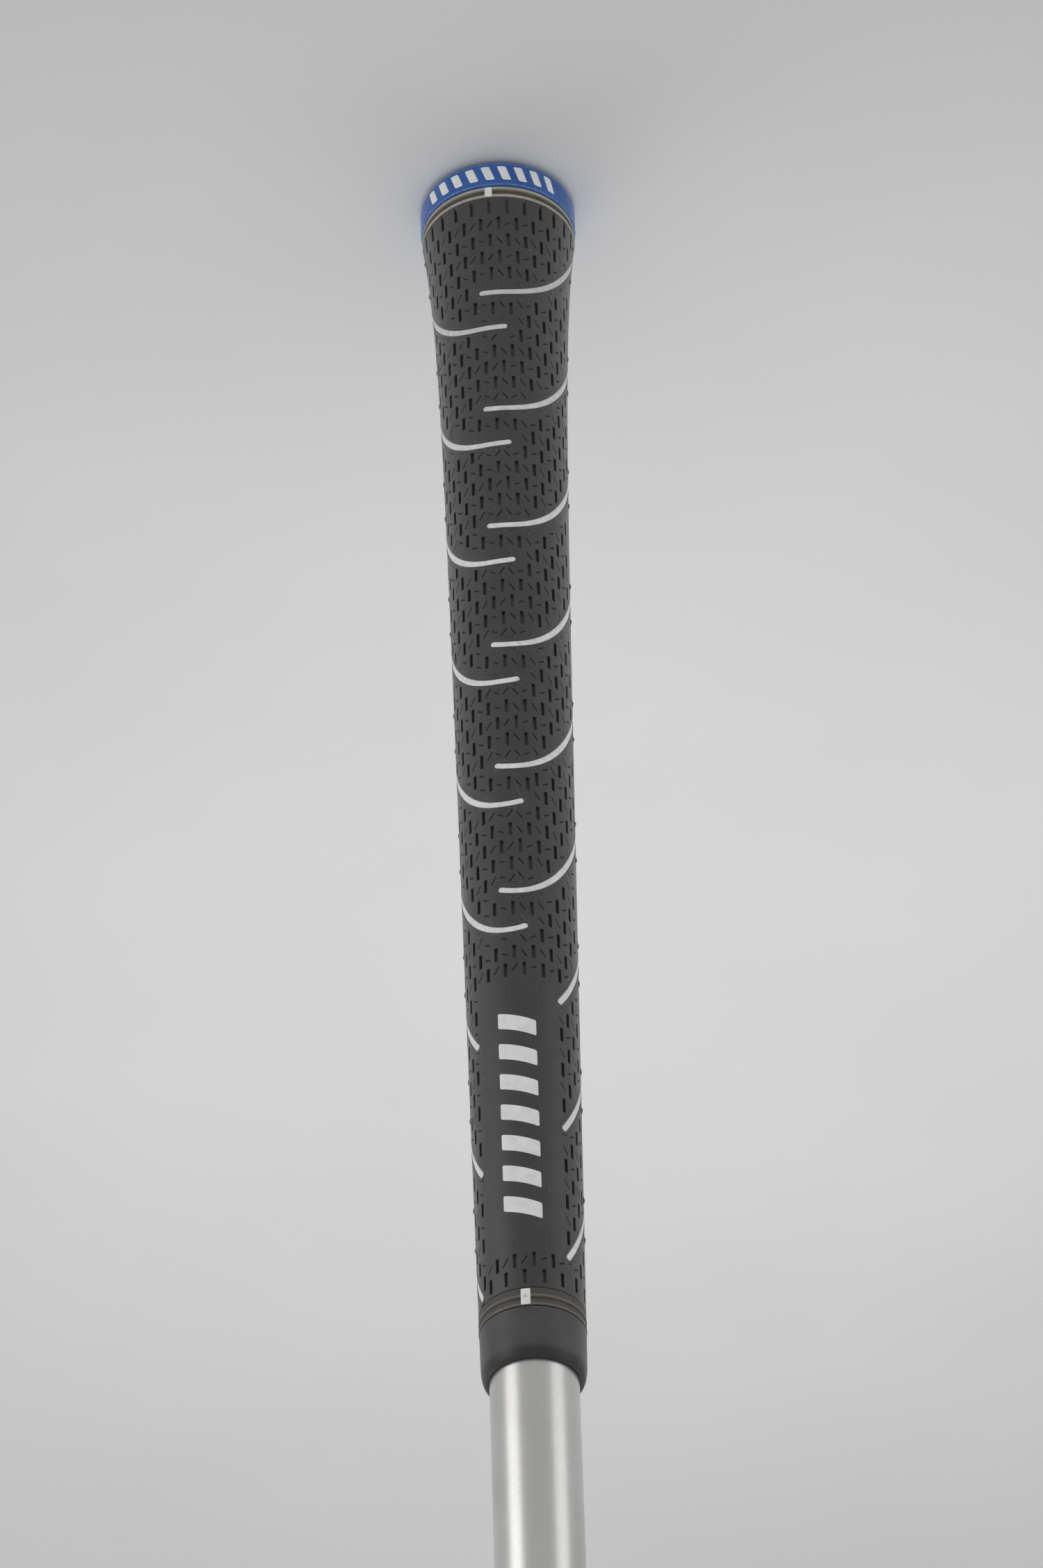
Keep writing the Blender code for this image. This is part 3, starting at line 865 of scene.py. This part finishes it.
def line_outline(distance):
    """Rows of (share of the length, along, across) round a painted line with half-round ends."""
    half = max(LINE_WIDTH / 2 + distance, 0.0)
    shares = np.linspace(0.0, 1.0, LINE_STEPS + 1)
    turns = np.radians(np.linspace(90.0, -90.0, LINE_END_STEPS + 1)[1:-1])
    side = [(share, 0.0, half) for share in shares]
    back = [(1.0, half * math.cos(t), half * math.sin(t)) for t in turns]
    other = [(share, 0.0, -half) for share in shares[::-1]]
    front = [(0.0, -half * math.cos(t), -half * math.sin(t)) for t in turns]
    return np.array(side + back + other + front)


# Profiles of the closed bodies: (distance outward from an outline, height over the skin) in millimetres
LIP_PROFILE = [
    (0.0, -0.5),
    (0.0, -0.06),
    (0.03, 0.0),
    (0.1, 0.03),
    (0.36, 0.025),
    (0.55, -0.01),
    (0.68, -0.1),
    (0.68, -0.5),
]

PAINT_PROFILE = [
    (-1.0, -0.4),
    (-0.03, -0.4),
    (-0.035, -0.13),
    (-0.07, -0.085),
    (-0.15, -0.06),
    (-0.28, -0.05),
    (-1.0, -0.048),
]


def millimetres(profile):
    return [(distance * MM, height * MM) for distance, height in profile]


def closed_body(name, outline, profile, to_world, material, ring, sharp_angle=50):
    """A closed body that follows an outline, with one of the profiles above or below.

    outline(distance) gives the outline grown by that distance, as rows of numbers that
    to_world(rows, height) places on the object. A ring's profile closes on itself, and a filled body's
    profile starts and ends in the outline's middle.
    """
    rings = [to_world(outline(distance), height) for distance, height in millimetres(profile)]
    faces = grid_faces(len(profile), len(rings[0]), close_rows=ring, close_columns=True)
    obj = mesh_object(name, np.concatenate(rings), faces, material, sharp_angle)
    return tidy(obj, 1e-6)


def painted_line(word, index):
    """The paint in a line's groove, and the raised rubber lip round it."""
    line = LINES[word, index]

    def to_world(rows, height):
        return line.place(rows[:, 0], rows[:, 1], rows[:, 2], height)

    def paint_to_world(rows, height):
        points = to_world(rows, height)
        if height <= PAINT_BURIED:
            return points
        uneven = np.array([noise.noise(Vector(p) * PAINT_BUMPS) for p in points])
        outward = points * (1.0, 1.0, 0.0)
        outward /= np.linalg.norm(outward, axis=1)[:, None]
        return points + outward * (PAINT_UNEVEN * uneven)[:, None]

    paint = closed_body(
        f"paint_{word}_{index}", line_outline, PAINT_PROFILE, paint_to_world, PAINT, ring=False
    )
    lip = closed_body(f"lip_{word}_{index}", line_outline, LIP_PROFILE, to_world, RUBBER, ring=True)
    return paint, lip


def bar_outline(width, height, corner, slant_up=0.0, slant_round=0.0):
    """Outline function of a bar with round corners, as rows of (round, up)."""
    arc_steps = 5
    side_steps = 10

    def outline(distance):
        radius = max(corner + distance, 0.0)
        across = max(min(width / 2 - corner, width / 2 + distance), 0.0)
        up = max(min(height / 2 - corner, height / 2 + distance), 0.0)
        corners = []
        for x, y, start in ((1, 1, 0), (-1, 1, 90), (-1, -1, 180), (1, -1, 270)):
            corners += arc(x * across, y * up, radius, start, start + 90, arc_steps)
        rows = []
        for number, (here, there) in enumerate(zip(corners, corners[1:] + corners[:1])):
            steps = side_steps if number % (arc_steps + 1) == arc_steps else 1
            rows += [[a + (b - a) * i / steps for a, b in zip(here, there)] for i in range(steps)]
        rows = np.array(rows)
        return rows + rows[:, ::-1] * (slant_round, slant_up)

    return outline


BAR_PROFILE = [
    (-1.65, -0.4),
    (-0.02, -0.4),
    (-0.02, -0.06),
    (-0.03, 0.0),
    (-0.08, 0.035),
    (-0.2, 0.045),
    (-0.9, 0.05),
    (-1.65, 0.05),
]


def bar(node, outline, angle, radius_at):
    """A bar of print in the place of this CAD node, at this angle round the axis."""
    lowest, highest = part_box(node)
    middle = (lowest.z + highest.z) / 2

    def to_world(rows, height):
        radius = radius_at(middle + rows[:, 1])
        return around(radius + height, angle + rows[:, 0] / radius, middle + rows[:, 1])

    piece = closed_body(f"{node}_print", outline, BAR_PROFILE, to_world, PRINT, ring=False)
    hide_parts(node)
    return piece


def bars_and_marks():
    pieces = []
    panel = bar_outline(PANEL_BAR_WIDTH, PANEL_BAR_HEIGHT, BAR_CORNER, slant_up=BAR_SLANT)
    for index in range(PANEL_BARS):
        pieces.append(bar(f"panel_bar_{index + 1}", panel, 0.0, skin_radius))
    small = bar_outline(CAP_BAR_WIDTH, CAP_BAR_HEIGHT, BAR_CORNER, slant_round=BAR_SLANT)
    for index in range(CAP_BARS):
        angle = (index - (CAP_BARS - 1) / 2) * CAP_BAR_PITCH / CAP_RADIUS
        pieces.append(bar(f"cap_bar_{index + 1}", small, angle, lambda level: CAP_RADIUS))
    marks = (
        ("cap_alignment_mark", "cap_joint_ring", CAP_MARK_WIDTH, 0.0),
        ("mouth_alignment_mark", "mouth_trim_ring", MARK_WIDTH, 0.1 * MM),
    )
    for node, ring, width, lower in marks:
        lowest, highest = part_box(ring)
        mark = bar_outline(width, highest.z - lowest.z - 0.3 * MM, 0.25 * MM)
        radius = highest.x - lower
        pieces.append(bar(node, mark, 0.0, lambda level, radius=radius: radius))
    return pieces


# ---------------------------------------------------------------- turned pieces


def ridged_ring(node, bore, height, ridges, groove, material):
    """A ring with two rounded ridges, this high, and a groove, each given as (middle, half width)."""
    lowest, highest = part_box(node)
    levels = np.linspace(lowest.z + RING_PLAY, highest.z - RING_PLAY, RING_STEPS)
    ridge = sum(bump(levels, *place) for place in ridges)
    dip = bump(levels, *groove)
    outside = highest.x - RIDGE + height * ridge - RING_GROOVE * dip
    profile = [(bore, levels[0]), *zip(outside, levels), (bore, levels[-1])]
    ring = lathe(f"{node}_moulding", profile, material)
    # The tone paints shade into the groove and a highlight onto the ridges.
    tone = 0.5 + 0.5 * np.minimum(ridge, 1.0) - 0.5 * dip
    heights = [vertex.co.z for vertex in ring.data.vertices]
    set_attribute(ring, "tone", np.interp(heights, levels, tone))
    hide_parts(node)
    return ring


def joint_ring():
    """The olive ring between the cap and the sleeve."""
    inset = 0.48 * MM
    half_ridge = 0.46 * MM
    ridges = [(JOINT_BOTTOM + inset, half_ridge), (JOINT_TOP - inset, half_ridge)]
    groove = ((JOINT_BOTTOM + JOINT_TOP) / 2, 0.78 * MM)
    # Painted shade in the groove, the ring's own olive, and a painted highlight on the ridges
    tones = ((0.05, 0.04, 0.02), (0.18, 0.168, 0.135), (0.52, 0.50, 0.455))
    material = ring_material("ring_olive", *tones)
    return ridged_ring("cap_joint_ring", 12.8 * MM, RIDGE, ridges, groove, material)


def trim_ring():
    """The dark ring near the mouth, with lower and narrower ridges."""
    half_ridge = 0.28 * MM
    ridges = [(TRIM_BOTTOM + 1.55 * MM, half_ridge), (TRIM_TOP - 0.35 * MM, half_ridge)]
    groove = (TRIM_BOTTOM + 2.05 * MM, 0.24 * MM)
    # Painted shade in the groove, the ring's own dark grey, and a painted highlight on the ridges
    tones = ((0.030, 0.026, 0.023), (0.080, 0.074, 0.067), (0.175, 0.168, 0.152))
    material = ring_material("ring_dark", *tones)
    return ridged_ring("mouth_trim_ring", 8.9 * MM, 0.05 * MM, ridges, groove, material)


def cap_profile():
    """Outline of the cap: wall with a rounded edge, a dished end face with a vent, and the socket."""
    edge = 1.5 * MM
    vent = 1.5 * MM
    socket = 11.0 * MM
    bed = 3.2 * MM
    corner = 0.25 * MM
    wall = arc(CAP_RADIUS - corner, CAP_TOP - corner, corner, 90, 0, 4)
    rim = arc(CAP_RADIUS - edge, edge, edge, 0, -90, 12)
    dish = [(11.6 * MM, 0.0), (11.3 * MM, 0.12 * MM), (11.1 * MM, 0.4 * MM), (10.6 * MM, 0.5 * MM)]
    hub = [(4.2 * MM, 0.5 * MM), (3.8 * MM, 0.4 * MM), (3.5 * MM, 0.15 * MM), (3.2 * MM, 0.08 * MM)]
    inside = [(vent + 0.3 * MM, 0.08 * MM), (vent, 0.35 * MM), (vent, bed), (socket, bed)]
    return [*wall, *rim, *dish, *hub, *inside, (socket, CAP_TOP)]


def on_highlighted_edge(place):
    """Whether a point of the cap is on its rounded edge or on the rim beside the ring."""
    radius = math.hypot(place.x, place.y)
    edge = abs(radius - CAP_RADIUS + 0.45 * MM) < 0.5 * MM and place.z < 1.3 * MM
    rim = radius > CAP_RADIUS - 1.0 * MM and place.z > CAP_TOP - 0.2 * MM
    return edge or rim


def cap(material):
    piece = lathe("end_cap_moulding", cap_profile(), material)
    # The edge attribute carries the painted highlight of the rounded edge and the rim.
    set_attribute(piece, "edge", [on_highlighted_edge(vertex.co) for vertex in piece.data.vertices])
    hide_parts("end_cap")
    return piece


def shaft(material):
    """Thin-walled steel tube, its ends deburred."""
    bore = SHAFT_RADIUS - 0.6 * MM
    burr = 0.12 * MM
    outside = [
        (SHAFT_RADIUS - burr, SHAFT_FOOT),
        (SHAFT_RADIUS, SHAFT_FOOT + burr),
        (SHAFT_RADIUS, SHAFT_TOP - burr),
        (SHAFT_RADIUS - burr, SHAFT_TOP),
    ]
    inside = [(bore + burr, SHAFT_TOP), (bore, SHAFT_TOP - burr), (bore, SHAFT_FOOT)]
    piece = lathe("shaft_tube", [*outside, *inside], material)
    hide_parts("shaft_butt_section")
    return piece


# ---------------------------------------------------------------- floor, lights and camera


def floor(material):
    signs = ((-1, -1), (1, -1), (1, 1), (-1, 1))
    corners = [(x * FLOOR_HALF, y * FLOOR_HALF, FLOOR_LEVEL) for x, y in signs]
    plate = mesh_object("floor", corners, [(0, 1, 2, 3)], material)


# Name, place, target, size, spread in degrees and power in watts of each soft light. The panels stand
# close to the grip and light it alone, so that they leave no patches on the floor.
LIGHTS = [
    ("pool", (0.0, 0.21, 1.25), (0.0, 0.21, 0.0), (0.3, 0.3), 32, 0.175),
    ("left_panel", (0.27, -0.2, 0.17), (0.0, 0.0, 0.17), (0.2, 0.3), 180, 0.225),
    ("right_panel", (-0.3, -0.13, 0.17), (0.0, 0.0, 0.17), (0.2, 0.3), 180, 0.135),
    ("back_left", (0.5, 0.5, 0.7), (0.0, 0.1, 0.1), (0.5, 0.5), 180, 0.6),
]
WORLD_STRENGTH = 0.52
LIT_BY_PANELS = bpy.data.collections.new("lit_by_panels")


def area_light(name, place, target, size, spread, power):
    light = bpy.data.lights.new(name, "AREA")
    light.shape = "RECTANGLE"
    light.size, light.size_y = size
    light.spread = math.radians(spread)
    light.energy = power
    obj = bpy.data.objects.new(name, light)
    obj.location = place
    aim = Vector(target) - Vector(place)
    obj.rotation_euler = aim.to_track_quat("-Z", "Y").to_euler()
    obj.visible_camera = False
    if name.endswith("panel"):
        obj.light_linking.receiver_collection = LIT_BY_PANELS
    bpy.context.scene.collection.objects.link(obj)


def studio():
    for light in LIGHTS:
        area_light(*light)
    world = bpy.data.worlds.new("studio")
    world.use_nodes = True
    background = world.node_tree.nodes["Background"]
    background.inputs["Color"].default_value = (1.0, 1.0, 1.0, 1.0)
    background.inputs["Strength"].default_value = WORLD_STRENGTH
    bpy.context.scene.world = world
    bpy.context.scene.view_settings.view_transform = "Standard"


def camera():
    """The photograph's view: from above the head's side, front on, with the cap at the top."""
    data = bpy.data.cameras.new("camera")
    data.sensor_fit = "VERTICAL"
    data.sensor_height = 36.0
    data.lens = 191.5
    data.clip_start = 0.05
    data.clip_end = 20.0
    obj = bpy.data.objects.new("camera", data)
    right = (-0.99091, 0.13209, 0.02513)
    up = (-0.10173, -0.61429, -0.78248)
    back = (-0.08792, -0.77794, 0.62216)
    turn = Matrix((right, up, back)).transposed().to_4x4()
    obj.matrix_world = Matrix.Translation((-0.1316, -1.1550, 1.0615)) @ turn
    bpy.context.scene.collection.objects.link(obj)
    bpy.context.scene.camera = obj


# ---------------------------------------------------------------- the whole object


def rides(piece):
    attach(piece, "root")


camera()
studio()
floor(floor_material())

skin, core = sleeve()
for piece in (skin, core):
    rides(piece)
    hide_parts("grip_sleeve")

for word, index in LINES:
    paint, lip = painted_line(word, index)
    rides(paint)
    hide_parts(f"paint_line_{word}_{index}")
    rides(lip)

for piece in bars_and_marks():
    rides(piece)

rides(joint_ring())
rides(trim_ring())
rides(cap(cap_material()))
rides(shaft(steel_material()))
for slot in frame["nodes"]["grip_tape"].material_slots:
    slot.material = tape_material()

for piece in bpy.context.scene.objects:
    if piece.type == "MESH" and piece.name != "floor":
        LIT_BY_PANELS.objects.link(piece)
